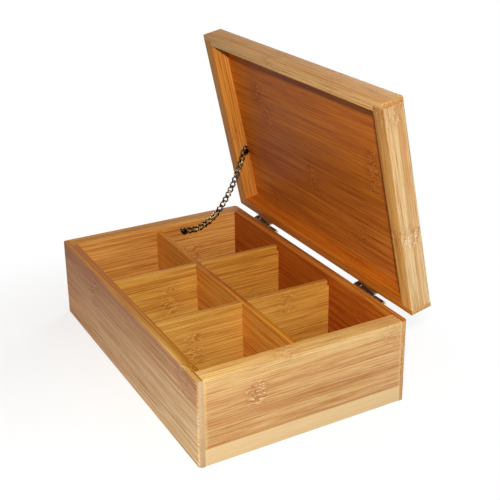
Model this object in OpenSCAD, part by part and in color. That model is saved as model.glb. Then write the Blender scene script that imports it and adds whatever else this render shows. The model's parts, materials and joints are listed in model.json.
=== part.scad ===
// Divided wooden box with a framed lid, two surface hinges and a stay chain.
// Origin: centre of the underside. +X right end, -Y front, +Z up. Millimetres.
// The lid is drawn shut and then turned open about the hinge line.

/* [Box] */
// Outside length, left to right
box_l = 280; // [250:1:330]
// Outside width, front to back
box_w = 178; // [160:1:210]
// Height of the walls
box_h = 70; // [64:0.5:84]
// Thickness of the front and rear boards
board_t = 9; // [8:0.5:12]
// Thickness of the end boards
end_t = 13.5; // [10:0.5:16]
// Part of the long boards that covers the end boards
lip_t = 4.5; // [4:0.5:5]
// Radius of the upright outer corners
corner_r = 3; // [1:0.5:3.5]
// Thickness of the bottom panel
bottom_t = 4; // [3:0.5:6]
// How far the bottom panel reaches under the walls
bottom_seat = 4; // [3:0.5:4]
// Play of the bottom panel in its rabbet, per side
panel_play = 0.2; // [0.1:0.05:0.4]

/* [Dividers] */
// Thickness of the dividers
divider_t = 5; // [4:0.5:7]
// Distance from the rim down to the dividers
divider_drop = 4; // [3:0.5:8]
// Position of the left cross divider
cross_left_x = -43.5; // [-60:0.5:-30]
// Position of the right cross divider
cross_right_x = 41; // [30:0.5:60]
// Depth of the grooves that hold the divider ends
groove_d = 2; // [1:0.5:3]
// Height of the notch at the upper corners of the divider ends
notch_h = 5; // [3:0.5:8]
// How far the notched corner stays off the wall
notch_gap = 1.2; // [0.5:0.1:2]
// Play between a divider and what holds it, per side
divider_play = 0.1; // [0.05:0.05:0.2]

/* [Lid] */
// Height of the closed lid
lid_h = 18; // [17:0.5:22]
// Gap between the rim and the closed lid
lid_gap = 0.4; // [0.4:0.1:1]
// How far the lid stays inside the box outline
lid_inset = 0.8; // [0.6:0.1:1]
// Thickness of the lid panel
lid_panel_t = 4; // [3:0.5:4.5]
// Radius of the lid's upright outer corners
lid_corner_r = 1.5; // [1:0.5:3]
// Angle at which the lid stands open
lid_open = 78; // [70:1:86]

/* [Hinges] */
// Length of a hinge
hinge_l = 40.5; // [40:0.5:60]
// Distance of the hinge centres from the ends of the box
hinge_inset = 55; // [45:0.5:70]
// Hinge line behind the rear face
axis_back = 3; // [2.8:0.1:4]
// Hinge line below the rim
axis_drop = 2.6; // [2.4:0.1:4]
// Radius of the knuckles
knuckle_r = 2.2; // [2.1:0.1:2.4]
// Radius of the hinge pin
pin_r = 1.1; // [0.9:0.1:1.3]
// Gap around the pin in the knuckles
pin_gap = 0.05; // [0.05:0.01:0.1]
// Gap around the pin in the fixed knuckle
pin_fit = 0.01; // [0.01:0.01:0.03]
// Thickness of the leaves
leaf_t = 1; // [0.8:0.1:1.2]
// Height of a leaf on the wood
leaf_h = 13; // [12:0.5:15]
// Length of the left lid knuckle
knuckle_a = 7; // [5:0.5:8]
// Length of the middle lid knuckle
knuckle_b = 19; // [16:0.5:20]
// Gap between neighbouring knuckles
knuckle_gap = 1; // [0.4:0.1:1.2]
// Radius of the leaf screws' shanks
leaf_screw_r = 1.1; // [0.9:0.1:1.3]
// Radius of the leaf screws' heads
leaf_head_r = 2.3; // [2:0.1:2.5]
// Length of the leaf screws
leaf_screw_l = 6; // [5:0.5:7]

/* [Chain] */
// Distance from one link's bearing to the next
link_pitch = 5.35; // [5.35:0.05:5.5]
// Thickness of the wire
wire_d = 1.3; // [1.1:0.05:1.4]
// Outside width of a link
link_w = 5.8; // [5.6:0.1:6]
// Gap between two linked wires
link_gap = 0.15; // [0.1:0.01:0.2]
// Distance of the chain from the end wall, to the middle of the links
chain_off = 3.3; // [3.3:0.1:4]
// Chain screw in the box: in front of the hinge line
low_back = 69; // [68:0.5:70]
// Chain screw in the box: below the rim
low_drop = 7; // [6.5:0.5:7.5]
// Chain screw in the lid: in front of the hinge line, lid shut
high_back = 63.5; // [63:0.5:64]
// Chain screw in the lid: above the rim, lid shut
high_rise = 8.9; // [8.5:0.1:9.2]
// Radius of the chain screws' shanks
chain_screw_r = 0.65; // [0.5:0.05:0.65]
// Radius of the chain screws' heads
chain_head_r = 2.7; // [2.4:0.1:3]
// Length of the chain screws in the wood
chain_screw_l = 6; // [5:0.5:7]
// From the last bearing to the middle of the end ring's slot
ring_mid = 4.74; // [4.6:0.01:4.9]
// From the last bearing to the lid screw as the lid stands open
ring_rest = 4.24; // [4.1:0.01:4.4]
// Half of the screw's travel along the end ring
ring_travel = 2.34; // [2.3:0.01:2.4]
// Half of the screw's travel across the end ring
ring_side = 1.08; // [1.05:0.01:1.1]

/* [Node] */
// Piece to draw

/* [Hidden] */
$fn = 48;
link_count = 19;
inner_x = box_l / 2 - end_t;
inner_y = box_w / 2 - board_t;
hinge_x = box_l / 2 - hinge_inset;
axis_y = box_w / 2 + axis_back;
axis_z = box_h - axis_drop;
div_top = box_h - divider_drop;
lid_z = box_h + lid_gap;
lid_l = box_l - 2 * lid_inset;
lid_w = box_w - 2 * lid_inset;
lid_top = lid_z + lid_h;
rail_in_y = inner_y - 0.5;
rail_lip = lip_t - 0.2;
panel_z = lid_top - lid_panel_t;
panel_seat = 4;
chain_x = -inner_x + chain_off;
low_y = axis_y - low_back;
low_z = box_h - low_drop;
high_y = axis_y - high_back;
high_z = box_h + high_rise;
wood = [0.72, 0.45, 0.18];
wood_dark = [0.62, 0.34, 0.12];
metal = [0.2, 0.15, 0.11];

// lid turned open about the hinge line
module as_open() {
    translate([0, axis_y, axis_z])
        rotate([-lid_open, 0, 0])
            translate([0, -axis_y, -axis_z])
                children();
}

// position of a point of the shut lid after opening
function opened(y, z) = [
    axis_y + (y - axis_y) * cos(lid_open) + (z - axis_z) * sin(lid_open),
    axis_z - (y - axis_y) * sin(lid_open) + (z - axis_z) * cos(lid_open)];

// plan of a long board with its two lips, outer corners rounded
module long_plan(l, w, inner, lip, thick, r) {
    intersection() {
        translate([-l / 2, w / 2 - lip])
            square([l, lip]);
        union() {
            translate([-l / 2 + r, w / 2 - thick])
                square([l - 2 * r, thick]);
            translate([-l / 2, w / 2 - thick])
                square([l, thick - r]);
            for (s = [-1, 1])
                translate([s * (l / 2 - r), w / 2 - r])
                    circle(r);
        }
    }
    translate([-inner, w / 2 - thick])
        square([2 * inner, thick - lip / 2]);
}

// stopped groove for one divider end in a long wall
module wall_groove(x) {
    translate([x - divider_t / 2 - divider_play, inner_y - 1, bottom_t - 1])
        cube([divider_t + 2 * divider_play, groove_d + 1,
            div_top - notch_h - bottom_t + 1 + divider_play]);
}

module long_wall() {
    difference() {
        linear_extrude(box_h)
            long_plan(box_l, box_w, inner_x, lip_t, board_t, corner_r);
        translate([-inner_x - 1, inner_y - 1, -1])
            cube([2 * inner_x + 2, bottom_seat + panel_play + 1, bottom_t + 1]);
        wall_groove(cross_left_x);
        wall_groove(cross_right_x);
    }
}

module end_wall() {
    side = box_w / 2 - lip_t;
    difference() {
        translate([inner_x, -side, 0])
            cube([end_t, 2 * side, box_h]);
        translate([inner_x - 1, -side - 1, -1])
            cube([bottom_seat + panel_play + 1, 2 * side + 2, bottom_t + 1]);
        translate([inner_x - 1, -divider_t / 2 - divider_play, bottom_t - 1])
            cube([groove_d + 1, divider_t + 2 * divider_play,
                div_top - notch_h - bottom_t + 1 + divider_play]);
    }
}

module front_board() {
    color(wood)
        mirror([0, 1, 0])
            long_wall();
}

// rear wall with the pilot holes of the lower hinge screws
module rear_board() {
    color(wood)
        difference() {
            long_wall();
            for (x = [-hinge_x, hinge_x])
                for (d = [-1, 1])
                    translate([x + d * hinge_l / 4, box_w / 2 + 1, leaf_screw_z()])
                        rotate([90, 0, 0])
                            cylinder(r = leaf_screw_r, h = leaf_screw_l + 1.5);
        }
}

module left_end_board() {
    color(wood)
        difference() {
            mirror([1, 0, 0])
                end_wall();
            translate([-inner_x + 1, low_y, low_z])
                rotate([0, -90, 0])
                    cylinder(r = chain_screw_r, h = chain_screw_l + 2);
        }
}

module right_end_board() {
    color(wood)
        end_wall();
}

module bottom_panel() {
    px = inner_x + bottom_seat;
    py = inner_y + bottom_seat;
    color(wood_dark)
        translate([-px, -py, 0])
            cube([2 * px, 2 * py, bottom_t]);
}

// divider along X with a tongue and a notch at each end
module divider_blank(half) {
    lower = div_top - notch_h - bottom_t;
    translate([-half - groove_d + divider_play, -divider_t / 2, bottom_t])
        cube([2 * (half + groove_d - divider_play), divider_t, lower]);
    translate([-half + notch_gap, -divider_t / 2, bottom_t + lower - 1])
        cube([2 * (half - notch_gap), divider_t, notch_h + 1]);
}

module lap_slot(z, h) {
    w = divider_t + 2 * divider_play;
    translate([-w / 2, -divider_t, z])
        cube([w, 2 * divider_t, h]);
}

module long_divider() {
    mid = (div_top + bottom_t) / 2 + divider_play;
    color(wood)
        difference() {
            divider_blank(inner_x);
            for (x = [cross_left_x, cross_right_x])
                translate([x, 0, 0])
                    lap_slot(bottom_t - 1, mid - bottom_t + 1);
        }
}

module cross_divider(x) {
    mid = (div_top + bottom_t) / 2;
    translate([x, 0, 0])
        rotate([0, 0, 90])
            difference() {
                divider_blank(inner_y);
                lap_slot(mid, div_top - mid + 1);
            }
}

module left_cross_divider() {
    color(wood)
        cross_divider(cross_left_x);
}

module right_cross_divider() {
    color(wood)
        cross_divider(cross_right_x);
}

// rear rail of the shut lid
module lid_long_rail() {
    difference() {
        translate([0, 0, lid_z])
            linear_extrude(lid_h)
                long_plan(lid_l, lid_w, inner_x, rail_lip, lid_w / 2 - rail_in_y,
                    lid_corner_r);
        translate([-inner_x - 1, rail_in_y - 1, panel_z])
            cube([2 * inner_x + 2, panel_seat + panel_play + 1, lid_panel_t + 1]);
    }
}

module lid_end_rail() {
    side = lid_w / 2 - rail_lip;
    difference() {
        translate([inner_x, -side, lid_z])
            cube([lid_l / 2 - inner_x, 2 * side, lid_h]);
        translate([inner_x - 1, -side - 1, panel_z])
            cube([panel_seat + panel_play + 1, 2 * side + 2, lid_panel_t + 1]);
    }
}

module lid_front_rail() {
    color(wood)
        as_open()
            mirror([0, 1, 0])
                lid_long_rail();
}

module lid_rear_rail() {
    color(wood)
        as_open()
            difference() {
                lid_long_rail();
                for (x = [-hinge_x, hinge_x])
                    for (d = [-1, 1])
                        translate([x + d * hinge_l / 4, lid_w / 2 + 1, lid_screw_z()])
                            rotate([90, 0, 0])
                                cylinder(r = leaf_screw_r, h = leaf_screw_l + 1.5);
            }
}

module lid_left_rail() {
    color(wood)
        as_open()
            difference() {
                mirror([1, 0, 0])
                    lid_end_rail();
                translate([-inner_x + 1, high_y, high_z])
                    rotate([0, -90, 0])
                        cylinder(r = chain_screw_r, h = chain_screw_l + 2);
            }
}

module lid_right_rail() {
    color(wood)
        as_open()
            lid_end_rail();
}

module lid_panel() {
    px = inner_x + panel_seat;
    py = rail_in_y + panel_seat;
    color(wood_dark)
        as_open()
            translate([-px, -py, panel_z])
                cube([2 * px, 2 * py, lid_panel_t]);
}

// heights of the leaf screws
function leaf_screw_z() = axis_z - leaf_h * 0.62;
function lid_screw_z() = lid_z + 0.6 + leaf_h * 0.6;

// knuckle tube along X from x0 to x1
module knuckle(x0, x1) {
    translate([x0, axis_y, axis_z])
        rotate([0, 90, 0])
            cylinder(r = knuckle_r, h = x1 - x0);
}

module knuckle_bore(gap) {
    translate([-hinge_l, axis_y, axis_z])
        rotate([0, 90, 0])
            cylinder(r = pin_r + gap, h = 2 * hinge_l);
}

// bevelled screw seat in a leaf, axis along Y, outer face at y
module leaf_hole(x, y, z) {
    translate([x, y + 0.01, z])
        rotate([90, 0, 0])
            cylinder(r1 = leaf_head_r, r2 = leaf_screw_r + 0.1, h = leaf_t * 0.7);
    translate([x, y + 0.5, z])
        rotate([90, 0, 0])
            cylinder(r = leaf_screw_r + 0.1, h = leaf_t + 1);
}

// ends of the pieces of one hinge, counted from its middle
function part_a() = -hinge_l / 2 + knuckle_a;
function part_b() = part_a() + knuckle_gap + knuckle_b;

module base_leaf(x) {
    y0 = box_w / 2;
    right_l = hinge_l / 2 - part_b() - knuckle_gap;
    translate([x, 0, 0])
        difference() {
            union() {
                translate([-hinge_l / 2, y0, axis_z - leaf_h])
                    cube([hinge_l, leaf_t, leaf_h - knuckle_r - 0.4]);
                translate([hinge_l / 2 - right_l, y0, axis_z - knuckle_r - 1])
                    cube([right_l, leaf_t, knuckle_r + 1]);
                translate([hinge_l / 2 - right_l, y0, axis_z - 0.6])
                    cube([right_l, axis_back - 1.4, 1.2]);
                knuckle(hinge_l / 2 - right_l, hinge_l / 2);
            }
            knuckle_bore(pin_fit);
            for (d = [-1, 1])
                leaf_hole(d * hinge_l / 4, y0 + leaf_t, leaf_screw_z());
        }
}

module lid_leaf(x) {
    y0 = lid_w / 2;
    neck = hinge_l / 2 + part_b();
    inner = box_w / 2 + 0.5;
    as_open()
        translate([x, 0, 0])
            difference() {
                union() {
                    translate([-hinge_l / 2, y0, lid_z + 0.6])
                        cube([hinge_l, leaf_t, leaf_h]);
                    translate([-hinge_l / 2, y0 + 0.2, lid_z + 0.6])
                        cube([neck, inner - y0 + 0.8, 1.4]);
                    translate([-hinge_l / 2, inner, axis_z])
                        cube([neck, 1, lid_z - axis_z + 2]);
                    knuckle(-hinge_l / 2, part_a());
                    knuckle(part_a() + knuckle_gap, part_b());
                }
                knuckle_bore(pin_gap);
                translate([part_a(), axis_y - 4, axis_z - 3])
                    cube([knuckle_gap, 8, knuckle_r + 3]);
                for (d = [-1, 1])
                    leaf_hole(d * hinge_l / 4, y0 + leaf_t, lid_screw_z());
            }
}

// plain pin with a low head at each end
module hinge_pin(x) {
    translate([x - hinge_l / 2 - 0.7, axis_y, axis_z])
        rotate([0, 90, 0])
            cylinder(r = pin_r, h = hinge_l + 1.4);
    for (s = [-1, 1])
        translate([x + s * (hinge_l / 2 + 0.7), axis_y, axis_z])
            rotate([0, 90, 0])
                cylinder(r = pin_r + 0.4, h = 0.8, center = true);
}

module left_base_leaf() {
    color(metal)
        base_leaf(-hinge_x);
}

module right_base_leaf() {
    color(metal)
        base_leaf(hinge_x);
}

module left_lid_leaf() {
    color(metal)
        lid_leaf(-hinge_x);
}

module right_lid_leaf() {
    color(metal)
        lid_leaf(hinge_x);
}

module left_hinge_pin() {
    color(metal)
        hinge_pin(-hinge_x);
}

module right_hinge_pin() {
    color(metal)
        hinge_pin(hinge_x);
}

// screw along Y into the wood, head face at y, with a cross slot
module leaf_screw(x, y, z) {
    translate([x, y, z])
        rotate([90, 0, 0])
            difference() {
                union() {
                    cylinder(r1 = leaf_head_r - 0.1, r2 = leaf_screw_r, h = leaf_t * 0.7);
                    cylinder(r = leaf_screw_r, h = leaf_screw_l);
                }
                for (a = [0, 90])
                    rotate([0, 0, a])
                        translate([-1.4, -0.25, -1])
                            cube([2.8, 0.5, 1.35]);
            }
}

module base_leaf_screws() {
    color(metal)
        for (x = [-hinge_x, hinge_x])
            for (d = [-1, 1])
                leaf_screw(x + d * hinge_l / 4, box_w / 2 + leaf_t, leaf_screw_z());
}

module lid_leaf_screws() {
    color(metal)
        as_open()
            for (x = [-hinge_x, hinge_x])
                for (d = [-1, 1])
                    leaf_screw(x + d * hinge_l / 4, lid_w / 2 + leaf_t, lid_screw_z());
}

// round-headed screw along X that holds one end of the chain
module chain_screw(y, z) {
    head_x = chain_off + link_w / 2 + 0.25;
    translate([-inner_x, y, z])
        rotate([0, 90, 0])
            difference() {
                union() {
                    translate([0, 0, -chain_screw_l])
                        cylinder(r = chain_screw_r, h = chain_screw_l + head_x + 0.5);
                    cylinder(r = chain_screw_r + 0.9, h = 0.35);
                    translate([0, 0, head_x])
                        intersection() {
                            cylinder(r = chain_head_r, h = 1.5);
                            translate([0, 0, -2.5])
                                sphere(r = 4);
                        }
                }
                translate([-chain_head_r - 1, -0.35, head_x + 0.9])
                    cube([2 * chain_head_r + 2, 0.7, 2]);
            }
}

module chain_low_screw() {
    color(metal)
        chain_screw(low_y, low_z);
}

module chain_high_screw() {
    color(metal)
        as_open()
            chain_screw(high_y, high_z);
}

// resting line of the chain: each link lies along a hanging curve
target = opened(high_y, high_z);
function span(i) = i < link_count ? link_pitch : ring_rest;
function along(i) = link_pitch * i + span(i) / 2;
function tilt(i, s0, a) = atan((along(i) - s0) / a);
function sum_y(s0, a, i = 0) = i > link_count ? 0
    : span(i) * cos(tilt(i, s0, a)) + sum_y(s0, a, i + 1);
function sum_z(s0, a, i = 0) = i > link_count ? 0
    : span(i) * sin(tilt(i, s0, a)) + sum_z(s0, a, i + 1);
function miss(v) = [
    low_y + sum_y(v[0], v[1]) - target[0],
    low_z + sum_z(v[0], v[1]) - target[1]];
function better(v) = let (
    e = miss(v),
    p = miss([v[0] + 0.01, v[1]]),
    q = miss([v[0], v[1] + 0.01]),
    a = (p[0] - e[0]) / 0.01,
    b = (q[0] - e[0]) / 0.01,
    c = (p[1] - e[1]) / 0.01,
    d = (q[1] - e[1]) / 0.01,
    det = a * d - b * c)
    [v[0] - (d * e[0] - b * e[1]) / det, v[1] - (a * e[1] - c * e[0]) / det];
function settle(v, n) = n == 0 ? v : settle(better(v), n - 1);
curve = settle([9.2, 31.5], 12);
function turn(i) = tilt(i, curve[0], curve[1]);
function joint_y(i) = i == 0 ? low_y
    : joint_y(i - 1) + link_pitch * cos(turn(i - 1));
function joint_z(i) = i == 0 ? low_z
    : joint_z(i - 1) + link_pitch * sin(turn(i - 1));

// wire centre line of a twisted link: one end lies in the YZ plane, the
// other crosses along X; u runs along the link from its bearing
link_c = link_pitch + wire_d + link_gap;
link_b = (link_w - wire_d) / 2;
steps = 24;
sides = 6;
function ease(t) = t <= 0 ? 0 : t >= 1 ? 1 : t * t * (3 - 2 * t);
function loop_u(t) = -wire_d - link_gap + link_c / 2
    - cos(t) * (link_c / 2) * (1 + 0.10 * pow(sin(t), 2));
function loop_v(t) = link_b * (sin(t) < 0 ? -1 : 1) * pow(abs(sin(t)), 0.72);
function twist(u) = 90 * ease((u - 0.6) / (link_pitch - 2.7));
function centre(t) = let (u = loop_u(t), v = loop_v(t), w = twist(u))
    [-v * sin(w), u, v * cos(w)];
function unit(v) = v / norm(v);
// closed wire through a ring of centre points, as one solid
module wire_loop(pts, ref) {
    n = len(pts);
    rows = [for (i = [0 : n - 1])
        let (
            t = unit(pts[(i + 1) % n] - pts[(i + n - 1) % n]),
            s = unit(cross(t, ref[i])),
            q = cross(s, t))
        for (k = [0 : sides - 1])
            pts[i] + wire_d / 2 * (cos(360 * k / sides + 30) * s
                + sin(360 * k / sides + 30) * q)];
    tris = [for (i = [0 : n - 1])
        for (k = [0 : sides - 1])
            let (
                a = i * sides + k,
                b = i * sides + (k + 1) % sides,
                c = ((i + 1) % n) * sides + (k + 1) % sides,
                d = ((i + 1) % n) * sides + k)
            for (f = [[a, b, c], [a, c, d]])
                f];
    polyhedron(rows, tris);
}

// face normal of the link's own surface, used to lay the wire's corners
function side_way(t) = let (w = twist(loop_u(t)))
    [cos(w), 0, sin(w)];

module link_solid() {
    t = [for (i = [0 : steps - 1]) 360 * (i + 0.5) / steps];
    wire_loop([for (a = t) centre(a)], [for (a = t) side_way(a)]);
}

module chain_link(i) {
    color(metal)
        translate([chain_x, joint_y(i), joint_z(i)])
            rotate([turn(i), 0, 0])
                link_solid();
}

// flat end ring with a long slot for the lid's chain screw
module end_ring() {
    back = -wire_d - link_gap;
    front = ring_mid + ring_travel + chain_screw_r + wire_d / 2;
    half = ring_side + chain_screw_r + wire_d / 2;
    t = [for (i = [0 : steps - 1]) 360 * (i + 0.5) / steps];
    pts = [for (a = t)
        [0,
            (back + front) / 2 - (front - back) / 2 * cos(a) * (1 + 0.12 * pow(sin(a), 2)),
            half * 1.06 * (sin(a) < 0 ? -1 : 1) * pow(abs(sin(a)), 0.6)]];
    color(metal)
        translate([chain_x, joint_y(link_count), joint_z(link_count)])
            rotate([turn(link_count), 0, 0])
                wire_loop(pts, [for (a = t) [1, 0, 0]]);
}

front_board();
rear_board();
left_end_board();
right_end_board();
bottom_panel();
long_divider();
left_cross_divider();
right_cross_divider();
lid_front_rail();
lid_rear_rail();
lid_left_rail();
lid_right_rail();
lid_panel();
left_base_leaf();
right_base_leaf();
left_lid_leaf();
right_lid_leaf();
left_hinge_pin();
right_hinge_pin();
base_leaf_screws();
lid_leaf_screws();
chain_low_screw();
chain_high_screw();
chain_link(0);  // chain_link_01
chain_link(1);  // chain_link_02
chain_link(2);  // chain_link_03
chain_link(3);  // chain_link_04
chain_link(4);  // chain_link_05
chain_link(5);  // chain_link_06
chain_link(6);  // chain_link_07
chain_link(7);  // chain_link_08
chain_link(8);  // chain_link_09
chain_link(9);  // chain_link_10
chain_link(10);  // chain_link_11
chain_link(11);  // chain_link_12
chain_link(12);  // chain_link_13
chain_link(13);  // chain_link_14
chain_link(14);  // chain_link_15
chain_link(15);  // chain_link_16
chain_link(16);  // chain_link_17
chain_link(17);  // chain_link_18
chain_link(18);  // chain_link_19
end_ring();  // chain_end_ring
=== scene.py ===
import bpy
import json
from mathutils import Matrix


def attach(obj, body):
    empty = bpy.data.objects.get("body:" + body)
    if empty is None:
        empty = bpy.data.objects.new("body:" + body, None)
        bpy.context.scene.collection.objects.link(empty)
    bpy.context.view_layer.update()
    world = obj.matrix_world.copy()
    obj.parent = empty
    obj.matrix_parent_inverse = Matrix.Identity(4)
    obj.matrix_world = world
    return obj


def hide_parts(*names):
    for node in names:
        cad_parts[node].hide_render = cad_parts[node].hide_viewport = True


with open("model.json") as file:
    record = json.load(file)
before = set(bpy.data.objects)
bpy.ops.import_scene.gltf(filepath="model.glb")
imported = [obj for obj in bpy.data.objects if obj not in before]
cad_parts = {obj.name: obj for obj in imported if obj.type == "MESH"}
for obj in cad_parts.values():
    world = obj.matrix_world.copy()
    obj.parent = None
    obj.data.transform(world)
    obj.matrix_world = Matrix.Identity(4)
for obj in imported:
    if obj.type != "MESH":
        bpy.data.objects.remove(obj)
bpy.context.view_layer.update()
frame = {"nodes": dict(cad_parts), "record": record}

import json
import math
from collections import namedtuple

import bmesh
import bpy
from bpy.props import FloatProperty, FloatVectorProperty, IntProperty, PointerProperty
from mathutils import Matrix, Vector

bl_info = {
    "name": "Divided bamboo box",
    "version": (1, 0, 0),
    "blender": (4, 5, 0),
    "location": "3D View > Sidebar > Box",
    "description": "Dresses a divided bamboo box with a hinged lid and a stay chain",
    "category": "Object",
}

# metres in a millimetre, and millimetres in a metre
MM = 0.001
TO_MM = 1000.0
BODIES = frame["record"]["behaviour"]["bodies"]
JOINTS = {joint["name"]: joint for joint in frame["record"]["behaviour"]["joints"]}

BOX_BOARDS = ("front_board", "rear_board", "left_end_board", "right_end_board", "bottom_panel")
DIVIDERS = ("long_divider", "left_cross_divider", "right_cross_divider")
LID_BOARDS = ("lid_front_rail", "lid_rear_rail", "lid_left_rail", "lid_right_rail", "lid_panel")
HINGE_METAL = ("left_base_leaf", "right_base_leaf", "left_lid_leaf", "right_lid_leaf",
               "left_hinge_pin", "right_hinge_pin", "base_leaf_screws", "lid_leaf_screws")
CHAIN_SCREWS = ("chain_low_screw", "chain_high_screw")

# the lid stands open in the frame, and lies shut at the low end of its hinge's range
HINGE_LINE = Vector(JOINTS["lid_hinge"]["pos_m"])
LID_OPEN = math.radians(-JOINTS["lid_hinge"]["range_deg"][0])
LID_TO_SHUT = (Matrix.Translation(HINGE_LINE) @ Matrix.Rotation(LID_OPEN, 4, "X")
               @ Matrix.Translation(-HINGE_LINE))
# heights with the lid shut, in millimetres: where the one strip that its rails are cut
# from starts, about half way up the lid, and the middle of its panel
LID_STRIP_FROM = 66.0
LID_MIDDLE = 80.0
PANEL_MIDDLE = 86.4

# an edge is sharp from this angle on, and glued where a neighbour is this near
SHARP_WOOD = math.radians(25)
SHARP_METAL = math.radians(35)
GLUED_WITHIN = 0.0004
# corners this near are one, and faces this near to level are joined
SAME_CORNER = 2e-6
LEVEL = math.radians(0.6)

# the chain as it hangs, in metres: its low end, its links and their spacing, the end
# ring's reach, how far along the chain its curve is lowest, and the curve's radius there
CHAIN_START = JOINTS["chain_link_01_turn"]["pos_m"]
LINKS = 19
PITCH = 0.00535
RING_REST = 0.00424
CURVE_MIDDLE = 9.2134 * MM
CURVE_RADIUS = 31.4818 * MM
# one link: clearance at its bearing, width, and the start and length of its quarter turn
LINK_GAP = 0.00015
LINK_WIDE = 0.0061
TURN_FROM = 0.6 * MM
TURN_LENGTH = PITCH - 2.7 * MM
# the end ring round the shank of the lid's chain screw, in millimetres
RING_MIDDLE = 4.74
RING_TRAVEL = 2.34
RING_SIDE = 1.08
SHANK_RADIUS = 0.65
RING_SPREAD = 1.06
# how full the ends are and how flat the sides, where 0 and 1 give an ellipse
LINK_FULL, LINK_FLAT = 0.10, 0.72
RING_FULL, RING_FLAT = 0.12, 0.6

# the photograph's camera, solved from the edges of the box
PHOTO_PX = 500
FOCAL_PX = 973.288
MIDDLE_PX = (279.23, 201.568)
SENSOR_MM = 36.0
EYE = (0.6616, -0.3285, 0.4210)
EYE_SIDE = Vector((0.5035, 0.8640, 0.0))
EYE_BACK = Vector((0.8065, -0.4700, 0.3588)).normalized()

# the floor turns white between two distances from the shadow's middle, in metres
SHADOW_MIDDLE = (0.0, -0.06, 0.0)
SHADOW_FROM, SHADOW_TO = 0.14, 0.29
FLOOR_HALF = 6.0
FLOOR_DROP = 0.2 * MM

WHITE = (1.0, 1.0, 1.0)
Tones = namedtuple("Tones", "deep dark reddish mid light pale")
# what sets one board apart, with its places in millimetres
# a tinted strip, from low to high across the grain
Band = namedtuple("Band", "low high tint")
# a long dark fibre, at a place across the grain
Line = namedtuple("Line", "at strength")
# a node of the cane, at a place along the grain and from low to high across it
Mark = namedtuple("Mark", "at low high strength")
# a tint from low to high through the board, and how much of it shows on the edges
Lining = namedtuple("Lining", "low high tint on_rim")
# a tint that changes evenly from start to stop
Sweep = namedtuple("Sweep", "start stop first last")
# an area lamp, and the spot that it is turned to
Lamp = namedtuple("Lamp", "name spot aim size power colour")


def srgb(red, green, blue):
    """A colour written as 0-255 screen values, as linear red, green, blue, 1."""
    def linear(c):
        c /= 255
        return c / 12.92 if c <= 0.04045 else ((c + 0.055) / 1.055) ** 2.4
    return (linear(red), linear(green), linear(blue), 1.0)


def opaque(colour):
    """A red, green and blue colour with an alpha of 1."""
    return tuple(colour) + (1.0,)


class Signal:
    """One socket of a finish; arithmetic on it adds Math nodes."""

    def __init__(self, finish, socket):
        self.finish, self.socket = finish, socket

    def _math(self, operation, *others, clamp=False):
        node = self.finish.add("ShaderNodeMath", {"operation": operation, "use_clamp": clamp},
                               dict(enumerate(others)))
        return node.out(0)

    def __add__(self, other):
        return self._math("ADD", self, other)

    def __radd__(self, other):
        return self._math("ADD", other, self)

    def __sub__(self, other):
        return self._math("SUBTRACT", self, other)

    def __rsub__(self, other):
        return self._math("SUBTRACT", other, self)

    def __mul__(self, other):
        return self._math("MULTIPLY", self, other)

    def __rmul__(self, other):
        return self._math("MULTIPLY", other, self)

    def __truediv__(self, other):
        return self._math("DIVIDE", self, other)

    def __rtruediv__(self, other):
        return self._math("DIVIDE", other, self)

    def __abs__(self):
        return self._math("ABSOLUTE", self)

    def floor(self):
        return self._math("FLOOR", self)

    def fract(self):
        return self._math("FRACT", self)

    def most(self, other):
        return self._math("MAXIMUM", self, other)

    def clamped(self):
        return self._math("ADD", self, 0, clamp=True)

    def between(self, low, high, to_low=0.0, to_high=1.0, smooth=True):
        """Goes from to_low at low to to_high at high."""
        node = self.finish.add(
            "ShaderNodeMapRange",
            {"interpolation_type": "SMOOTHSTEP" if smooth else "LINEAR", "clamp": True},
            {"Value": self, "From Min": low, "From Max": high, "To Min": to_low,
             "To Max": to_high})
        return node.out("Result")

    def below(self, limit, soft):
        """1 below the limit and 0 above it, with a soft edge."""
        return self.between(limit - soft, limit + soft, 1.0, 0.0)

    def within(self, low, high, soft):
        """1 from low to high and 0 outside, with soft edges."""
        return self.between(low - soft, low + soft) * self.below(high, soft)


class Made:
    """A node that has been added."""

    def __init__(self, finish, node):
        self.finish, self.node = finish, node

    def out(self, name=0):
        return Signal(self.finish, self.node.outputs[name])


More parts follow.
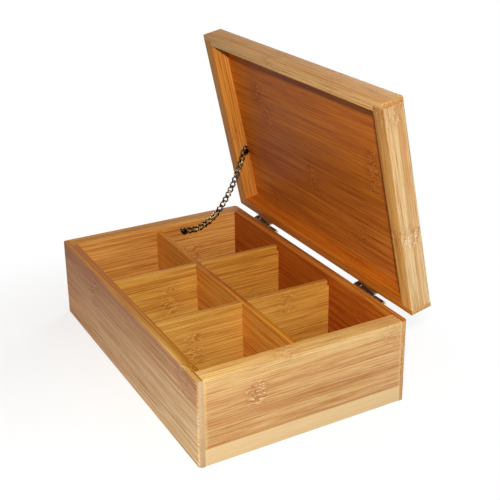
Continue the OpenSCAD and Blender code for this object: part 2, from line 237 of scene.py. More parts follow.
class Finish:
    """A material, or the world, under construction."""

    def __init__(self, name, world=False):
        self.made = (bpy.data.worlds if world else bpy.data.materials).new(name)
        self.made.use_nodes = True
        self.tree = self.made.node_tree
        self.tree.nodes.clear()
        self.output = "ShaderNodeOutputWorld" if world else "ShaderNodeOutputMaterial"

    def add(self, kind, settings=None, sockets=None):
        """Adds a node: its settings first, then the values or links of its sockets."""
        node = self.tree.nodes.new(kind)
        for key, value in (settings or {}).items():
            if key == "stops":
                ramp = node.color_ramp
                while len(ramp.elements) > 1:
                    ramp.elements.remove(ramp.elements[-1])
                ramp.elements[0].position, ramp.elements[0].color = value[0]
                for position, colour in value[1:]:
                    ramp.elements.new(position).color = colour
            else:
                setattr(node, key, value)
        for key, value in (sockets or {}).items():
            if isinstance(value, Signal):
                self.tree.links.new(value.socket, node.inputs[key])
            else:
                node.inputs[key].default_value = value
        return Made(self, node)

    def combine(self, x, y, z):
        """A vector from three values."""
        return self.add("ShaderNodeCombineXYZ", sockets={"X": x, "Y": y, "Z": z}).out("Vector")

    def noise(self, vector, scale=1.0, detail=2.0, roughness=0.5, distortion=0.0):
        return self.add("ShaderNodeTexNoise", {"noise_dimensions": "3D"},
                        {"Vector": vector, "Scale": scale, "Detail": detail,
                         "Roughness": roughness, "Distortion": distortion}).out(0)

    def chance(self, x, y, z):
        """A random value from 0 to 1 for each whole step of x, y and z."""
        return self.add("ShaderNodeTexWhiteNoise", {"noise_dimensions": "3D"},
                        {"Vector": self.combine(x, y, z)}).out("Value")

    def blend(self, factor, first, second, how="MIX"):
        """Mixes colours, which are the Mix node's inputs 6 and 7 and its output 2."""
        node = self.add("ShaderNodeMix", {"data_type": "RGBA", "blend_type": how,
                                          "clamp_factor": True},
                        {"Factor": factor, 6: first, 7: second})
        return Signal(self, node.node.outputs[2])

    def bump(self, height, strength, distance):
        """A normal that is raised by height, with distance in metres."""
        return self.add("ShaderNodeBump", {}, {"Strength": strength, "Distance": distance,
                                               "Height": height}).out("Normal")

    def done(self, shader):
        """Joins the shader to the output and gives the finished material or world."""
        self.add(self.output, {}, {"Surface": shader})
        return self.made


def shades(colour):
    """The tones of a wood, worked out from its middle colour."""
    steps = Tones(deep=(0.42, 0.25, 0.13), dark=(0.77, 0.61, 0.45), reddish=(0.77, 0.53, 0.37),
                  mid=WHITE, light=(1.18, 1.28, 1.46), pale=(1.45, 1.85, 2.8))
    return Tones(*(opaque(min(1.0, c * m) for c, m in zip(colour, step)) for step in steps))


class Board:
    """One board's finish under construction. It has places in millimetres along the
    fibres, across the strips and through the plies, how far each face looks along each of
    these, and the wood made so far."""

    def __init__(self, name, axes, seed, shut):
        fin = self.fin = Finish(name)
        self.seed = seed
        where = fin.add("ShaderNodeTexCoord")
        spot, facing = where.out("Object"), where.out("Normal")
        if shut:
            spot = fin.add("ShaderNodeMapping", {"vector_type": "POINT"},
                           {"Vector": spot, "Location": LID_TO_SHUT.to_translation(),
                            "Rotation": (LID_OPEN, 0, 0)}).out()
            facing = fin.add("ShaderNodeVectorRotate", {"rotation_type": "X_AXIS"},
                             {"Vector": facing, "Angle": LID_OPEN}).out()
        places = fin.add("ShaderNodeSeparateXYZ", sockets={"Vector": spot})
        turned = fin.add("ShaderNodeSeparateXYZ", sockets={"Vector": facing})
        self.along, self.across, self.through = (places.out(a) * TO_MM for a in axes)
        self.end_on = abs(turned.out(axes[0])).between(0.45, 0.9)
        self.edge_on = abs(turned.out(axes[1])).between(0.5, 0.9)
        self.broad = abs(turned.out(axes[2])).between(0.5, 0.9)

    def noise(self, long, wide, shift, detail=2.0, roughness=0.5, distortion=0.0):
        """Noise with one scale along the fibres and another across them."""
        spot = self.fin.combine(self.along * long + shift, self.across * wide,
                                self.through * wide)
        return self.fin.noise(spot, detail=detail, roughness=roughness, distortion=distortion)

    def mix(self, factor, colour):
        """Covers the wood with a colour."""
        self.wood = self.fin.blend(factor, self.wood, colour)

    def tint(self, factor, colour):
        """Multiplies the wood by a colour."""
        if not isinstance(colour, Signal):
            colour = opaque(colour)
        self.wood = self.fin.blend(factor, self.wood, colour, "MULTIPLY")

    def change(self, distance, sweep):
        """A tint that changes evenly with distance."""
        return self.fin.blend(distance.between(sweep.start, sweep.stop, smooth=False),
                              opaque(sweep.first), opaque(sweep.last))


def glued_strips(board, tones, ply, strip, strip_from, lively, bold, bands, bands_to):
    """Starts the wood: strips of cane side by side and in plies, each with fibres and a
    tone of its own."""
    fin, seed = board.fin, board.seed
    row = ((board.across - strip_from) / strip).floor()
    luck = fin.chance(row + seed * 7.0, (board.through / ply).floor(), seed)
    drift = luck * 83.0

    board.threads = board.noise(0.012, 1.35, drift, roughness=0.6)
    board.fibre = board.noise(0.045, 2.6, drift, roughness=0.6)
    streak = board.noise(0.006, 0.30, drift)
    cloud = fin.noise(fin.combine(board.along * 0.010 + seed, board.across * 0.03,
                                  board.through * 0.03 + drift), detail=1.0)
    veins = fin.noise(fin.combine(board.along * 0.0035 + drift, board.across * 0.42,
                                  board.through * 0.42 + 7.0), detail=1.0)
    value = (0.62 + (luck - 0.5) * 0.20 * lively + (board.threads - 0.5) * 2.2 * lively
             + (board.fibre - 0.5) * 1.3 + (streak - 0.5) * bold
             + (cloud - 0.5) * 0.40 * lively)
    stops = [(0.0, tones.deep), (0.36, tones.dark), (0.64, tones.mid), (1.0, tones.light)]
    board.wood = fin.add("ShaderNodeValToRGB", {"stops": stops},
                         {"Fac": value.clamped()}).out("Color")
    board.mix(veins.between(0.60, 0.67) * 0.60, tones.reddish)
    one_side = 1.0 if bands_to is None else board.through.below(bands_to, 0.2)
    for band in bands:
        board.tint(board.across.within(band.low, band.high, 2.0) * one_side, band.tint)

    fleck = board.noise(0.16, 2.3, drift, detail=1.0).between(0.67, 0.78)
    board.mix(fleck * 0.30, tones.deep)
    seam = abs(((board.across - strip_from) / strip).fract() - 0.5).between(0.489, 0.498)
    ply_seam = abs((board.through / ply).fract() - 0.5).between(0.455, 0.49)
    board.mix((seam * 0.22).most(ply_seam * 0.40 * board.edge_on), tones.deep)
    board.dent = fleck * 0.25 + seam * 0.5


def long_lines(board, tones, lines):
    """Single dark fibres that run the whole length of a board."""
    fin, seed = board.fin, board.seed
    sway = fin.noise(fin.combine(board.along * 0.008 + seed, 3.0, 5.0), detail=1.0)
    fade = fin.noise(fin.combine(board.along * 0.020 + seed, board.across * 0.1, 9.0),
                     detail=1.0)
    drawn = 0.0
    for line in lines:
        off = abs(board.across - line.at + (sway - 0.5) * 5.0)
        drawn = (off.between(0.15, 0.75, 1.0, 0.0) * line.strength).most(drawn)
    board.mix(drawn * fade.between(0.30, 0.55, 0.35, 1.0) * board.broad, tones.reddish)


def cane_nodes(board, tones, marks):
    """The nodes of the cane, where its fibres curl up in a small patch."""
    crook = board.noise(0.05, 0.25, 0.0, roughness=0.7)
    curl = board.noise(0.15, 0.52, board.seed, distortion=0.5)
    dark_curl = abs(curl - 0.46).between(0.012, 0.042, 1.0, 0.0)
    pale_curl = abs(curl - 0.55).between(0.012, 0.042, 1.0, 0.0)
    bend = (crook - 0.5) * 14.0
    halo = knot = 0.0
    for mark in marks:
        off = abs(board.along - mark.at + bend)
        span = board.across.within(mark.low, mark.high, 2.0) * mark.strength
        halo = (off.between(4.0, 17.0, 1.0, 0.0) * span).most(halo)
        knot = (off.between(5.0, 11.0, 1.0, 0.0) * span).most(knot)
    board.mix(halo * 0.40, tones.reddish)
    board.mix(knot * dark_curl * 0.70, tones.deep)
    board.mix(knot * pale_curl * 0.6, tones.pale)
    board.dent = board.dent + knot * (dark_curl - pale_curl * 0.5) * 0.8


def bamboo(name, grain, seed, colour, look, shut=False, strip=17.0, strip_from=0.0,
           lively=1.0, bold=0.5, bands=(), bands_to=None, lines=(), marks=(), rim=None,
           lining=None, sweeps=(), rise=None, lip=None, tips=None, pale_below=None):
    """Laminated bamboo. grain names the axes along the fibres, across the strips and through the
    plies; shut boards are worked out as they lie with the lid closed. bands are tinted strips,
    as deep as bands_to. lining tints the inner side, rim the edges, sweeps the length and rise
    the height; most sweeps, the rise and some linings are painted light and shade, as the plans
    say. lip is the colour of rough ends, tips says where light ends start, which are a painted
    highlight, and pale_below how high a pale lowest strip is."""
    board = Board(name, grain, seed, shut)
    fin, tones = board.fin, shades(colour)
    glued_strips(board, tones, look.ply, strip, strip_from, lively, bold, bands, bands_to)
    if lines:
        long_lines(board, tones, lines)
    if marks:
        cane_nodes(board, tones, marks)

    if rim is not None:
        on_rim = board.edge_on
        if shut:
            on_rim = on_rim * board.across.below(LID_MIDDLE, 1.0)
        board.tint(on_rim, rim)
    if lining is not None:
        board.tint(board.through.within(lining.low, lining.high, 0.15)
                   * board.broad.most(board.edge_on * lining.on_rim), lining.tint)
    # most sweeps paint light falloff along a board
    for sweep in sweeps:
        board.tint(1.0, board.change(board.along, sweep))
    # the rise paints floor bounce low on the broad faces and shade higher up
    if rise is not None:
        board.tint(board.broad, board.change(board.across, rise))
    if lip is not None:
        board.mix(board.end_on * 0.75, opaque(lip))
    # tips paint a highlight near the ends of the broad faces
    if tips is not None:
        board.mix(abs(board.along).between(tips - 3.0, tips - 1.0) * board.broad * 0.55,
                  tones.light)
    if pale_below is not None:
        board.mix(board.across.below(pale_below, 0.5) * 0.72, opaque(look.pale))
        glue = abs(board.across - pale_below - 0.6).between(0.3, 1.0, 1.0, 0.0)
        board.mix(glue * 0.45, tones.dark)

    rough = (0.56 + (board.fibre - 0.5) * 0.20 + board.dent * 0.12).clamped()
    height = board.threads * 0.5 + board.fibre * 0.4 - board.dent
    shader = fin.add("ShaderNodeBsdfPrincipled", {},
                     {"Base Color": board.wood, "Roughness": rough,
                      "Normal": fin.bump(height, 0.30, 0.00012),
                      "Specular IOR Level": 0.16})
    return fin.done(shader.out())


def bronze(name, look, patina, scale, from_wire=False, knuckles=False):
    """Antique bronze: dark lacquered metal, rubbed bright in patches. The bright flat sides of a
    link are painted highlights mixed with rubbing, and the bright faces and edges that look
    along the hinge line are painted glints, partly polish."""
    fin = Finish(name)
    where = fin.add("ShaderNodeTexCoord")
    spot = where.out("Object")
    patch = fin.noise(spot, scale=scale, detail=3.0, roughness=0.6)
    grime = fin.noise(spot, scale=scale * 3.1, detail=2.0)
    if from_wire:
        # painted highlights on the flat sides of the wire, mixed with rubbed patches
        flat = fin.add("ShaderNodeAttribute", {"attribute_name": "flat_side"}).out("Fac")
        rubbed_and_glints = flat.between(0.30, 0.80, 0.4, 1.0) * patch.between(0.51, 0.59, 0.04, 1.0)
    else:
        rubbed_and_glints = patch.between(0.58, 0.76, 0.0, 0.6)
    if knuckles:
        # faces that look along the hinge line are painted bright: painted glints at the knuckle
        # ends, partly polish
        turned = fin.add("ShaderNodeSeparateXYZ", sockets={"Vector": where.out("Normal")})
        rubbed_and_glints = rubbed_and_glints.most(abs(turned.out("X")).between(0.20, 0.60))
    colour = fin.blend(rubbed_and_glints, opaque(patina), opaque(look.bright))
    rough = (0.34 - rubbed_and_glints * 0.10 + (grime - 0.5) * 0.2).clamped()
    shader = fin.add("ShaderNodeBsdfPrincipled", {},
                     {"Base Color": colour, "Metallic": 1.0, "Roughness": rough,
                      "Normal": fin.bump(grime + patch, 0.20, 0.00004)})
    return fin.done(shader.out())


def wear(obj, material):
    """Gives an object one material."""
    obj.data.materials.clear()
    obj.data.materials.append(material)


def body_of_node(node):
    """The body that a CAD node is on."""
    for body, nodes in BODIES.items():
        if node in nodes:
            return body
    raise ValueError("no body for " + node)


def place(mesh, name, material, node):
    """Puts a mesh in a CAD node's stead, on the body that the node is on."""
    obj = bpy.data.objects.new(name, mesh)
    bpy.context.scene.collection.objects.link(obj)
    wear(obj, material)
    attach(obj, body_of_node(node))
    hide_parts(node)
    return obj


def board_boxes():
    """The room that each board takes, in metres, with the lid shut."""
    boxes = {}
    for node in BOX_BOARDS + DIVIDERS + LID_BOARDS:
        source = frame["nodes"][node]
        points = [source.matrix_world @ v.co for v in source.data.vertices]
        if node in LID_BOARDS:
            points = [LID_TO_SHUT @ p for p in points]
        boxes[node] = tuple((min(p[i] for p in points), max(p[i] for p in points))
                            for i in range(3))
    return boxes


def cleaned(node, name):
    """A fresh copy of a CAD node with its flat faces joined up."""
    source = frame["nodes"][node]
    mesh = bpy.data.meshes.new(name)
    bm = bmesh.new()
    bm.from_mesh(source.data)
    bm.transform(source.matrix_world)
    bmesh.ops.remove_doubles(bm, verts=bm.verts, dist=SAME_CORNER)
    bmesh.ops.dissolve_limit(bm, angle_limit=LEVEL, verts=bm.verts, edges=bm.edges)
    return bm, mesh


def smoothed(bm, mesh):
    """Writes a bmesh to its mesh with smooth faces."""
    for face in bm.faces:
        face.smooth = True
    bm.to_mesh(mesh)
    bm.free()
    return mesh


def round_off(obj, name, radius, segments):
    """Rounds the edges that have a bevel weight."""
    bevel = obj.modifiers.new(name, "BEVEL")
    bevel.width = radius
    bevel.segments = segments
    bevel.limit_method = "WEIGHT"
    bevel.harden_normals = True
    return bevel


def eased_board(node, slot, material, boxes, radius, joint_radius):
    """A board with its open edges eased and its glued edges only just broken."""
    name = "eased_" + node
    bm, mesh = cleaned(node, name)
    weight = bm.edges.layers.float.new("bevel_weight_edge")
    to_shut = LID_TO_SHUT if node in LID_BOARDS else Matrix.Identity(4)
    for edge in bm.edges:
        edge.smooth = True
        if len(edge.link_faces) != 2:
            continue
        angle = edge.calc_face_angle_signed(0)
        if abs(angle) < SHARP_WOOD:
            continue
        if angle < 0:
            edge.smooth = False
            continue
        middle = to_shut @ ((edge.verts[0].co + edge.verts[1].co) / 2)
        glued = any(
            other != node and all(low - GLUED_WITHIN <= at <= high + GLUED_WITHIN
                                  for at, (low, high) in zip(middle, box))
            for other, box in boxes.items())
        edge[weight] = joint_radius / radius if glued else 1.0
    obj = place(smoothed(bm, mesh), name, material, node)
    round_off(obj, "ease", radius, 3).miter_outer = "MITER_ARC"


def broken_metal(node, material, radius):
    """A metal piece with its sharp edges just broken."""
    name = "cast_" + node
    bm, mesh = cleaned(node, name)
    weight = bm.edges.layers.float.new("bevel_weight_edge")
    for edge in bm.edges:
        if len(edge.link_faces) != 2:
            continue
        angle = edge.calc_face_angle_signed(0)
        edge.smooth = abs(angle) < SHARP_METAL
        if angle > SHARP_METAL:
            edge.smooth = True
            edge[weight] = 1.0
    obj = place(smoothed(bm, mesh), name, material, node)
    round_off(obj, "break", radius, 2)


def chain_tilt(i):
    """How far a link leans up, from the curve that the chain hangs in."""
    span = PITCH if i < LINKS else RING_REST
    return math.atan((PITCH * i + span / 2 - CURVE_MIDDLE) / CURVE_RADIUS)


def chain_bearing(i):
    """Where a link hangs in the one before it."""
    x, y, z = CHAIN_START
    for k in range(i):
        y += PITCH * math.cos(chain_tilt(k))
        z += PITCH * math.sin(chain_tilt(k))
    return Vector((x, y, z))


def rounded(value, power):
    """A power of a value that keeps its sign."""
    return math.copysign(abs(value) ** power, value)


def link_line(wire, count):
    """Middle line of one twisted link, from its bearing at the origin along +Y."""
    length = PITCH + wire + LINK_GAP
    half = (LINK_WIDE - wire) / 2
    points = []
    for k in range(count):
        turn = 2 * math.pi * (k + 0.5) / count
        full = 1 + LINK_FULL * math.sin(turn) ** 2
        along = -wire - LINK_GAP + length / 2 - math.cos(turn) * length / 2 * full
        aside = half * rounded(math.sin(turn), LINK_FLAT)
        share = min(1, max(0, (along - TURN_FROM) / TURN_LENGTH))
        twist = math.pi / 2 * share * share * (3 - 2 * share)
        points.append(Vector((-aside * math.sin(twist), along, aside * math.cos(twist))))
    return points


def ring_line(wire, count):
    """Middle line of the long end ring."""
    back = -wire - LINK_GAP
    front = (RING_MIDDLE + RING_TRAVEL + SHANK_RADIUS) * MM + wire / 2
    half = (RING_SIDE + SHANK_RADIUS) * MM + wire / 2
    points = []
    for k in range(count):
        turn = 2 * math.pi * (k + 0.5) / count
        full = 1 + RING_FULL * math.sin(turn) ** 2
        along = (back + front) / 2 - (front - back) / 2 * math.cos(turn) * full
        aside = half * RING_SPREAD * rounded(math.sin(turn), RING_FLAT)
        points.append(Vector((0, along, aside)))
    return points


def wire_frames(points, tangents):
    """One direction square to each tangent, carried round a closed line without twist."""
    normal = tangents[0].orthogonal().normalized()
    carried = []
    for tangent in tangents:
        normal = (normal - tangent * normal.dot(tangent)).normalized()
        carried.append(normal.copy())
    last = (normal - tangents[0] * normal.dot(tangents[0])).normalized()
    drift = math.atan2(last.cross(carried[0]).dot(tangents[0]), last.dot(carried[0]))
    return [Matrix.Rotation(drift * i / len(points), 3, tangents[i]) @ carried[i]
            for i in range(len(points))]


def wire_mesh(name, points, radius, sides):
    """A closed round wire through points. Its "flat_side" attribute is 1 on the two sides
    between its inner and its outer side, where the chain's bronze paints its highlights."""
    count = len(points)
    tangents = [(points[(i + 1) % count] - points[i - 1]).normalized() for i in range(count)]
    middle = sum(points, Vector()) / count
    bm = bmesh.new()
    flat_side = bm.verts.layers.float.new("flat_side")
    rings = []
    for point, tangent, side in zip(points, tangents, wire_frames(points, tangents)):
        up = tangent.cross(side)
        flat = tangent.cross(point - middle).normalized()
        ring = []
        for k in range(sides):
            turn = 2 * math.pi * k / sides
            offset = math.cos(turn) * side + math.sin(turn) * up
            vert = bm.verts.new(point + radius * offset)
            vert[flat_side] = abs(offset.dot(flat))
            ring.append(vert)
        rings.append(ring)
    for i in range(count):
        ring, after = rings[i], rings[(i + 1) % count]
        for k in range(sides):
            bm.faces.new((ring[k], after[k], after[(k + 1) % sides], ring[(k + 1) % sides]))
    bmesh.ops.recalc_face_normals(bm, faces=bm.faces)
    return smoothed(bm, bpy.data.meshes.new(name))


def wood_colour(label, text, red, green, blue):
    """A colour that a user can change, from 0-255 screen values."""
    return FloatVectorProperty(name=label, description=text, subtype="COLOR", size=3,
                               default=srgb(red, green, blue)[:3])


class BoxWoodLook(bpy.types.PropertyGroup):
    front: wood_colour("Front board", "Middle colour of the front board", 206, 158, 107)
    end: wood_colour("End boards", "Middle colour of the end boards", 207, 165, 110)
    rear: wood_colour("Rear board", "Middle colour of the rear board", 196, 146, 92)
    slat: wood_colour("Cross dividers", "Middle colour of the cross dividers", 198, 145, 64)
    spine: wood_colour("Long divider", "Middle colour of the long divider", 207, 132, 47)
    base: wood_colour("Bottom", "Middle colour of the bottom panel", 190, 126, 52)
    rail: wood_colour("Lid rails", "Middle colour of the lid's left and rear rails",
                      206, 157, 98)
    # the lid's rails are one wood: the front rail's darker colour is painted shade
    top_rail: wood_colour("Front rail", "Middle colour of the lid's front rail", 188, 138, 80)
    # the right rail's paler colour is painted light, on the side that faces the lamp
    right_rail: wood_colour("Right rail", "Middle colour of the lid's right rail",
                            218, 184, 134)
    # the panel's colour is its inner face as it looks in shade with warm bounce from the box:
    # painted shade
    panel: wood_colour("Lid panel", "Middle colour of the lid's panel", 171, 94, 26)
    pale: wood_colour("Pale strip", "Pale lowest strip of an end board", 233, 205, 156)
    lip: wood_colour("Lips", "Rough ends of the front board beside the end boards",
                     188, 157, 120)
    ply: FloatProperty(name="Ply", description="Thickness of one ply in millimetres",
                       default=4.5, min=2.0, max=8.0)
    edge_radius: FloatProperty(name="Eased edge", description="Radius of the open edges",
                               default=0.0007, min=0.0001, max=0.002, unit="LENGTH")
    joint_radius: FloatProperty(name="Joint edge", description="Radius of the glued edges",
                                default=0.00018, min=0.00005, max=0.001, unit="LENGTH")


class ChainLook(bpy.types.PropertyGroup):
    patina: FloatVectorProperty(name="Chain patina", description="Dark bronze of the chain",
                                subtype="COLOR", size=3, default=srgb(38, 26, 17)[:3])
    hinge: FloatVectorProperty(name="Hinge patina", description="Dark bronze of the hinges",
                               subtype="COLOR", size=3, default=srgb(88, 62, 42)[:3])
    # rubbed bronze, also the colour of the painted highlights on the chain's flat sides and the
    # painted glints on the hinges' knuckle ends
    bright: FloatVectorProperty(name="Rubbed bronze", description="Bronze where it is rubbed",
                                subtype="COLOR", size=3, default=srgb(240, 218, 178)[:3])
    wire: FloatProperty(name="Wire", description="Diameter of the chain's wire",
                        default=0.0015, min=0.0008, max=0.0016, unit="LENGTH")
    wire_steps: IntProperty(name="Steps", description="Steps along one link", default=40)
    wire_sides: IntProperty(name="Sides", description="Sides of the wire", default=10)


class StageLook(bpy.types.PropertyGroup):
    sky: FloatProperty(name="Sky", description="Strength of the even light", default=0.17)
    lamp: FloatProperty(name="Window", description="Power of the side lamp", default=10.8,
                        unit="POWER")
    overhead: FloatProperty(name="Overhead", description="Power of the upper lamp",
                            default=3.0, unit="POWER")
    rear: FloatProperty(name="Rear", description="Power of the lamp behind",
                        default=6.0, unit="POWER")
    floor: FloatVectorProperty(name="Floor", description="Colour of the floor",
                               subtype="COLOR", size=3, default=(0.92, 0.92, 0.92))
    floor_bounce: FloatVectorProperty(name="Floor's light",
                                      description="Colour that the floor throws back",
                                      subtype="COLOR", size=3, default=(0.45, 0.45, 0.45))


def board_set(look, plans, slot_of, shut=False):
    """Builds a set of boards, each from the name of its colour and its plan."""
    boxes = board_boxes()
    for node, (colour, plan) in plans.items():
        material = bamboo("bamboo_" + node, colour=getattr(look, colour), look=look,
                          shut=shut, **plan)
        eased_board(node, slot_of(node), material, boxes, look.edge_radius, look.joint_radius)


class BOX_OT_walls(bpy.types.Operator):
    """Builds the four walls and the bottom panel"""
    bl_idname = "box.walls"
    bl_label = "Walls and bottom"

    def execute(self, context):
        wood = context.scene.box_wood
        plans = {
            "front_board": ("front", dict(
                grain="XZY", seed=1.0, strip=24.0, rim=(0.78, 0.61, 0.27), lip=wood.lip,
                lining=Lining(-84.5, -79.0, (0.94, 0.74, 0.075), 1.0),
                # painted light and shade: the sweep makes the board darker at the left end and
                # lighter towards the window lamp at the right; the rise makes it lighter near
                # the bottom as painted floor bounce and darker towards the top as painted shade
                sweeps=[Sweep(-140.0, 140.0, (0.83, 0.69, 0.59), (1.10, 1.33, 1.60))],
                rise=Sweep(5.0, 65.0, (1.45, 1.55, 1.62), (0.79, 0.66, 0.60)),
                marks=[Mark(117.0, 48.0, 72.0, 0.8), Mark(-60.0, 38.0, 62.0, 0.9)])),
            "rear_board": ("rear", dict(
                grain="XZY", seed=2.0, strip=24.0, rim=(0.88, 0.55, 0.17), lively=1.5,
                # painted shade: the lining makes the inner face deep red-brown for the shade and
                # warm bounce inside the box, and the sweep paints light falloff, lighter towards
                # the right end
                lining=Lining(79.0, 84.5, (0.70, 0.27, 0.042), 0.0),
                sweeps=[Sweep(30.0, 125.0, WHITE, (1.15, 1.25, 1.30))],
                marks=[Mark(-20.0, 10.0, 30.0, 0.6), Mark(88.0, 44.0, 70.0, 0.5)])),
            "left_end_board": ("end", dict(
                grain="YZX", seed=3.0, strip=24.0, rim=(0.79, 0.59, 0.24),
                lining=Lining(-134.0, -120.0, (0.91, 0.67, 0.33), 0.0),
                marks=[Mark(34.0, 26.0, 44.0, 1.0), Mark(-30.0, 0.0, 24.0, 0.6)])),
            "right_end_board": ("end", dict(
                grain="YZX", seed=4.0, strip=24.0, strip_from=14.0, pale_below=14.0,
                # tips=84.5 paints a highlight near the board's front and rear ends, on the eased
                # corners
                rim=(1.17, 1.11, 0.88), tips=84.5, lively=0.75, bold=0.5,
                lining=Lining(120.0, 131.5, (0.98, 0.86, 0.62), 0.3),
                sweeps=[Sweep(20.0, 89.0, WHITE, (1.09, 1.11, 1.18))],
                bands=[Band(60.0, 76.0, (1.03, 1.10, 1.10)),
                       Band(46.0, 53.0, (0.94, 0.89, 0.89)),
                       Band(31.0, 37.0, (0.92, 0.84, 0.85)),
                       Band(14.0, 28.0, (1.05, 1.07, 1.12))],
                lines=[Line(15.2, 1.0), Line(22.0, 0.4), Line(34.0, 0.9), Line(49.0, 0.6)],
                marks=[Mark(-42.0, 38.0, 57.0, 1.0), Mark(-16.0, 66.0, 74.0, 0.6),
                       Mark(-22.0, 4.0, 13.0, 0.35), Mark(75.0, 52.0, 70.0, 0.4)])),
            "bottom_panel": ("base", dict(grain="XYZ", seed=5.0, strip=22.0)),
        }
        board_set(wood, plans,
                  lambda node: "panel_wood" if node == "bottom_panel" else "box_wood")
        return {"FINISHED"}


class BOX_OT_dividers(bpy.types.Operator):
    """Builds the long divider and the two cross dividers"""
    bl_idname = "box.dividers"
    bl_label = "Dividers"

    def execute(self, context):
        plans = {
            "long_divider": ("spine", dict(
                grain="XZY", seed=6.0, strip=31.0, rim=(0.89, 0.89, 0.51),
                marks=[Mark(-96.0, 20.0, 50.0, 0.5), Mark(104.0, 8.0, 36.0, 0.5)])),
            "left_cross_divider": ("slat", dict(
                grain="YZX", seed=7.0, strip=31.0, lively=0.8,
                # painted light falloff: darker and redder towards the rear, away from the lamp
                sweeps=[Sweep(-10.0, 45.0, (1.02, 1.0, 0.93), (0.90, 0.75, 0.52))],
                marks=[Mark(-29.0, 24.0, 50.0, 0.7), Mark(50.0, 10.0, 30.0, 0.4)])),
            "right_cross_divider": ("slat", dict(
                grain="YZX", seed=8.0, strip=31.0, lively=0.8,
                # painted light falloff: darker and redder towards the rear, away from the lamp
                sweeps=[Sweep(-60.0, 60.0, (0.99, 1.0, 1.05), (0.96, 0.86, 0.73))],
                marks=[Mark(-47.0, 22.0, 50.0, 0.8), Mark(39.0, 46.0, 64.0, 0.6)])),
        }
        board_set(context.scene.box_wood, plans, lambda node: "divider_wood")
        return {"FINISHED"}


class BOX_OT_lid(bpy.types.Operator):
    """Builds the lid's four rails and its panel"""
    bl_idname = "box.lid"
    bl_label = "Lid"

    def execute(self, context):
        rail = dict(strip=26.0, strip_from=LID_STRIP_FROM)
        low, high = LID_STRIP_FROM + 3.0, LID_STRIP_FROM + 24.0
        plans = {
            # top_rail is a darker copy of the rail wood: painted shade
            "lid_front_rail": ("top_rail", dict(
                rail, grain="XZY", seed=9.0, rim=(1.31, 1.49, 1.76),
                lining=Lining(-81.0, -79.0, (0.95, 0.75, 0.42), 0.0),
                marks=[Mark(-22.0, low, high, 0.5), Mark(70.0, low, high, 0.3)])),
            "lid_rear_rail": ("rail", dict(
                rail, grain="XZY", seed=10.0, rim=(0.83, 0.46, 0.105), lively=1.3,
                lining=Lining(79.0, 87.0, (0.76, 0.35, 0.048), 0.0),
                marks=[Mark(52.0, low, high, 0.4)])),
            "lid_left_rail": ("rail", dict(
                rail, grain="YZX", seed=11.0, rim=(0.80, 0.60, 0.25),
                lining=Lining(-134.5, -120.0, (0.91, 0.65, 0.26), 0.0),
                marks=[Mark(10.0, low, high, 0.4)])),
            # right_rail is a paler copy of the rail wood: painted light
            "lid_right_rail": ("right_rail", dict(
                rail, grain="YZX", seed=12.0, rim=(0.97, 0.75, 0.44), lively=0.75, bold=0.3,
                lining=Lining(120.0, 131.0, (0.96, 0.80, 0.50), 0.3),
                sweeps=[Sweep(-75.0, 75.0, (0.86, 0.83, 0.78), (1.12, 1.18, 1.24))],
                marks=[Mark(21.0, low, high, 0.7), Mark(-78.0, low, high, 0.5)])),
            "lid_panel": ("panel", dict(
                grain="XYZ", seed=13.0, strip=26.0, strip_from=-90.0, lively=1.1, bold=1.1,
                # the lining lightens the outer face, which does not carry the painted shade of
                # the inner face
                lining=Lining(PANEL_MIDDLE, 92.0, (1.36, 2.3, 4.9), 0.0),
                sweeps=[Sweep(0.0, 126.0, WHITE, (1.08, 1.20, 1.85)),
                        # painted light: lighter by the left rail, against the shade that falls
                        # there
                        Sweep(-126.0, -88.0, (1.40, 1.55, 1.75), WHITE)],
                bands_to=PANEL_MIDDLE,
                bands=[Band(-92.0, -38.0, (1.07, 1.02, 0.54)),
                       Band(-38.0, -12.0, (1.05, 1.04, 0.55)),
                       Band(-12.0, 14.0, (0.92, 0.88, 0.47)),
                       Band(14.0, 40.0, (0.94, 0.89, 0.80)),
                       Band(40.0, 92.0, (1.14, 1.20, 1.26))],
                marks=[Mark(-83.0, -50.0, -28.0, 1.0), Mark(-71.0, -28.0, -8.0, 1.0),
                       Mark(-6.0, 10.0, 36.0, 1.0), Mark(93.0, -34.0, 4.0, 1.0),
                       Mark(60.0, 44.0, 62.0, 0.6), Mark(-110.0, 30.0, 52.0, 0.4)])),
        }
        board_set(context.scene.box_wood, plans,
                  lambda node: "panel_wood" if node == "lid_panel" else "lid_wood", shut=True)
        return {"FINISHED"}


class BOX_OT_hinges(bpy.types.Operator):
    """Builds the two hinges, their pins and their screws"""
    bl_idname = "box.hinges"
    bl_label = "Hinges"

    def execute(self, context):
        look = context.scene.box_chain
        # knuckles=True paints glints on the faces that look along the hinge line
        metal = bronze("hinge_bronze", look, look.hinge, 330.0, knuckles=True)
        for node in HINGE_METAL:
            broken_metal(node, metal, 0.12 * MM)
        return {"FINISHED"}


class BOX_OT_chain(bpy.types.Operator):
    """Builds the stay chain, its end ring and its two screws"""
    bl_idname = "box.chain"
    bl_label = "Chain"

    def execute(self, context):
        look = context.scene.box_chain
        # from_wire paints highlights on the flat sides of the links
        metal = bronze("chain_bronze", look, look.patina, 420.0, from_wire=True)
        screw = bronze("screw_bronze", look, look.patina, 330.0)
        for node in CHAIN_SCREWS:
            broken_metal(node, screw, 0.15 * MM)
        for i in range(LINKS + 1):
            node = "chain_link_%02d" % (i + 1) if i < LINKS else "chain_end_ring"
            line = (link_line if i < LINKS else ring_line)(look.wire, look.wire_steps)
            mesh = wire_mesh("wire_" + node, line, look.wire / 2, look.wire_sides)
            mesh.transform(Matrix.Translation(chain_bearing(i))
                           @ Matrix.Rotation(chain_tilt(i), 4, "X"))
            place(mesh, "wire_" + node, metal, node)
        return {"FINISHED"}


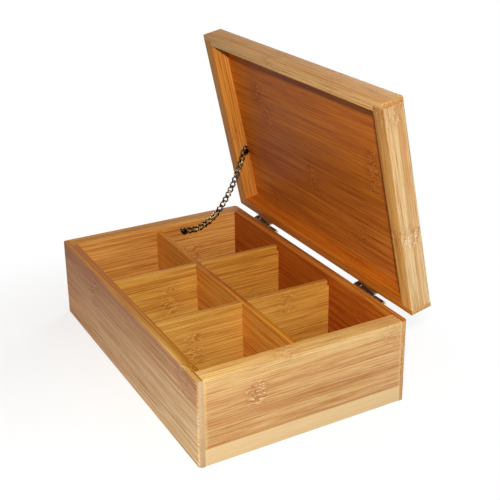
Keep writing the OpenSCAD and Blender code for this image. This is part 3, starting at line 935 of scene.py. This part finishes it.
def lay_floor(look):
    """White paper: it keeps the shadow near the box and turns plain white further off, and
    throws less light back than it shows."""
    fin = Finish("floor_paper")
    path = fin.add("ShaderNodeLightPath")
    seen = path.out("Is Camera Ray").most(path.out("Is Glossy Ray"))
    spot = fin.add("ShaderNodeTexCoord").out("Object")
    grain = fin.noise(spot, scale=60.0, detail=3.0)
    far = fin.add("ShaderNodeVectorMath", {"operation": "DISTANCE"},
                  {0: spot, 1: SHADOW_MIDDLE}).out("Value")
    colour = fin.blend(grain * 0.04, opaque(look.floor), (0.85, 0.85, 0.85, 1))
    colour = fin.blend(seen, opaque(look.floor_bounce), colour)
    paper = fin.add("ShaderNodeBsdfDiffuse", {}, {"Color": colour, "Roughness": 0.3}).out()
    glow = fin.add("ShaderNodeEmission", {}, {"Strength": 1.0}).out()
    whiter = seen * far.between(SHADOW_FROM, SHADOW_TO, 0.50, 1.0)
    both = fin.add("ShaderNodeMixShader", {}, {0: whiter, 1: paper, 2: glow}).out()
    bm = bmesh.new()
    bmesh.ops.create_grid(bm, x_segments=8, y_segments=8, size=FLOOR_HALF)
    mesh = bpy.data.meshes.new("floor")
    bm.to_mesh(mesh)
    bm.free()
    floor = bpy.data.objects.new("floor", mesh)
    bpy.context.scene.collection.objects.link(floor)
    wear(floor, fin.done(both))
    floor.location.z = -FLOOR_DROP


def even_sky(look):
    """White where it is seen, and a weaker even light on everything."""
    studio = Finish("studio", world=True)
    path = studio.add("ShaderNodeLightPath")
    seen = (path.out("Is Camera Ray").most(path.out("Is Glossy Ray"))
            .most(path.out("Is Transmission Ray")))
    even = studio.add("ShaderNodeBackground", {},
                      {"Color": opaque(WHITE), "Strength": look.sky}).out()
    white = studio.add("ShaderNodeBackground", {},
                       {"Color": opaque(WHITE), "Strength": 1.0}).out()
    return studio.done(studio.add("ShaderNodeMixShader", {}, {0: seen, 1: even, 2: white}).out())


def hang_lamp(lamp):
    """Adds one round area lamp."""
    light = bpy.data.lights.new(lamp.name, "AREA")
    light.shape = "DISK"
    light.size = lamp.size
    light.energy = lamp.power
    light.color = lamp.colour
    obj = bpy.data.objects.new(lamp.name, light)
    obj.location = lamp.spot
    away = Vector(lamp.spot) - Vector(lamp.aim)
    obj.rotation_euler = away.to_track_quat("Z", "Y").to_euler()
    bpy.context.scene.collection.objects.link(obj)


def photo_camera():
    """The camera that took the photograph."""
    cam = bpy.data.cameras.new("camera")
    cam.sensor_width = SENSOR_MM
    cam.lens = FOCAL_PX / PHOTO_PX * SENSOR_MM
    cam.shift_x = (PHOTO_PX / 2 - MIDDLE_PX[0]) / PHOTO_PX
    cam.shift_y = (MIDDLE_PX[1] - PHOTO_PX / 2) / PHOTO_PX
    cam.clip_start, cam.clip_end = 0.02, 50
    camera = bpy.data.objects.new("camera", cam)
    up = EYE_BACK.cross(EYE_SIDE).normalized()
    side = up.cross(EYE_BACK)
    rows = [(side[i], up[i], EYE_BACK[i], EYE[i]) for i in range(3)]
    camera.matrix_world = Matrix(rows + [(0, 0, 0, 1)])
    bpy.context.scene.collection.objects.link(camera)
    return camera


class BOX_OT_stage(bpy.types.Operator):
    """Sets the floor, the light and the camera"""
    bl_idname = "box.stage"
    bl_label = "Stage"

    def execute(self, context):
        look, scene = context.scene.box_stage, context.scene
        lay_floor(look)
        scene.world = even_sky(look)
        for lamp in (
                Lamp("window", (0.80, -0.42, 0.605), (0.0, 0.0, 0.06), 0.05, look.lamp,
                     (1.0, 0.985, 0.96)),
                Lamp("overhead", (0.0, 0.5, 1.4), (0.0, 0.0, 0.0), 1.3, look.overhead, WHITE),
                Lamp("rear", (-0.75, 0.95, 0.55), (0.0, 0.0, 0.08), 0.7, look.rear,
                     (1.0, 0.99, 0.97))):
            hang_lamp(lamp)
        scene.camera = photo_camera()
        scene.view_settings.view_transform = "Standard"
        return {"FINISHED"}


class BOX_PT_panel(bpy.types.Panel):
    """Lists the steps that build the box"""
    bl_idname = "BOX_PT_panel"
    bl_label = "Divided bamboo box"
    bl_space_type = "VIEW_3D"
    bl_region_type = "UI"
    bl_category = "Box"

    def draw(self, context):
        for step in STEPS:
            self.layout.operator(step.bl_idname)


STEPS = (BOX_OT_walls, BOX_OT_dividers, BOX_OT_lid, BOX_OT_hinges, BOX_OT_chain, BOX_OT_stage)
GROUPS = (("box_wood", BoxWoodLook), ("box_chain", ChainLook), ("box_stage", StageLook))


def register():
    for name, group in GROUPS:
        bpy.utils.register_class(group)
        setattr(bpy.types.Scene, name, PointerProperty(type=group))
    for step in STEPS + (BOX_PT_panel,):
        bpy.utils.register_class(step)


def unregister():
    for step in reversed(STEPS + (BOX_PT_panel,)):
        bpy.utils.unregister_class(step)
    for name, group in reversed(GROUPS):
        delattr(bpy.types.Scene, name)
        bpy.utils.unregister_class(group)


def main():
    register()
    for step in STEPS:
        section, action = step.bl_idname.split(".")
        getattr(getattr(bpy.ops, section), action)()
    bpy.context.view_layer.update()


if __name__ == "__main__":
    main()
